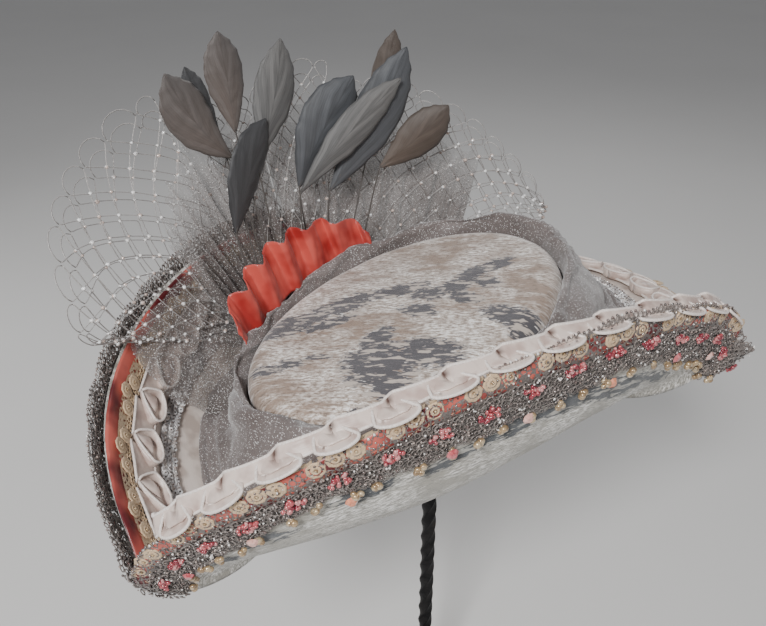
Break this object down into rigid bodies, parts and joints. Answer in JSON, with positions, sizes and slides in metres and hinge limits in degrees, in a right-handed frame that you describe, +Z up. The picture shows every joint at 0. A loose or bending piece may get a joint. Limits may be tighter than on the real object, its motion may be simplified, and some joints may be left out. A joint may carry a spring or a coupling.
{
  "type": "bridal tricorne hat on a stand",
  "caption": "Bridal tricorne hat with turned-up flaps trimmed in lace, ribbon and pleated ruffle, a satin cockade, net fans and feathers, held on a twisted iron stand.",
  "frame": {"origin": "centre of the stand's foot, on the surface it stands on", "axes": "+Z up along the stand's stem, -Y towards the hat's front point, +X towards the wearer's left"},
  "size_m": [0.314, 0.3981, 0.5145],
  "materials": {
    "iron": "black wrought iron, satin",
    "velvet": "cream velvet with a grey floral pile pattern",
    "tulle": "taupe tulle with silver glitter",
    "silver_lace": "silver lace with seed beads",
    "coral_satin": "coral satin ribbon",
    "ivory_satin": "ivory satin ribbon, box-pleated",
    "gold_lace": "ivory and gold flower lace",
    "silver_braid": "silver sequin braid",
    "net": "silver-grey millinery net",
    "feather": "grey and brown goose feather",
    "crystal": "peach and pink cut crystal"
  },
  "bodies": {
    "root": {"stand_foot": "iron", "stand_stem": "iron", "stand_cap": "iron", "crown": "velvet", "brim": "velvet", "crown_wrap": "tulle", "lace_left": "silver_lace", "lace_back": "silver_lace", "lace_right": "silver_lace", "coral_ribbon_left": "coral_satin", "coral_ribbon_back": "coral_satin", "coral_ribbon_right": "coral_satin", "daisy_trim_left": "gold_lace", "daisy_trim_back": "gold_lace", "daisy_trim_right": "gold_lace", "ruffle_left": "ivory_satin", "ruffle_back": "ivory_satin", "ruffle_right": "ivory_satin", "silver_braid_left": "silver_braid", "silver_braid_back": "silver_braid", "silver_braid_right": "silver_braid", "crystal_left_1": "crystal", "crystal_left_2": "crystal", "crystal_left_3": "crystal", "crystal_left_4": "crystal", "crystal_left_5": "crystal", "crystal_left_6": "crystal", "crystal_left_7": "crystal", "crystal_left_8": "crystal", "crystal_back_1": "crystal", "crystal_back_2": "crystal", "crystal_back_3": "crystal", "crystal_back_4": "crystal", "crystal_back_5": "crystal", "crystal_right_1": "crystal", "crystal_right_2": "crystal", "crystal_right_3": "crystal", "crystal_right_4": "crystal", "crystal_right_5": "crystal", "cockade": "coral_satin", "veil_front": "net", "veil_top": "net", "veil_back": "net", "tulle_fan_front": "tulle", "tulle_fan_back": "tulle", "feather_1": "feather", "feather_2": "feather", "feather_3": "feather", "feather_4": "feather", "feather_5": "feather", "feather_6": "feather", "feather_7": "feather", "feather_8": "feather", "feather_9": "feather", "feather_10": "feather"}
  },
  "joints": []
}
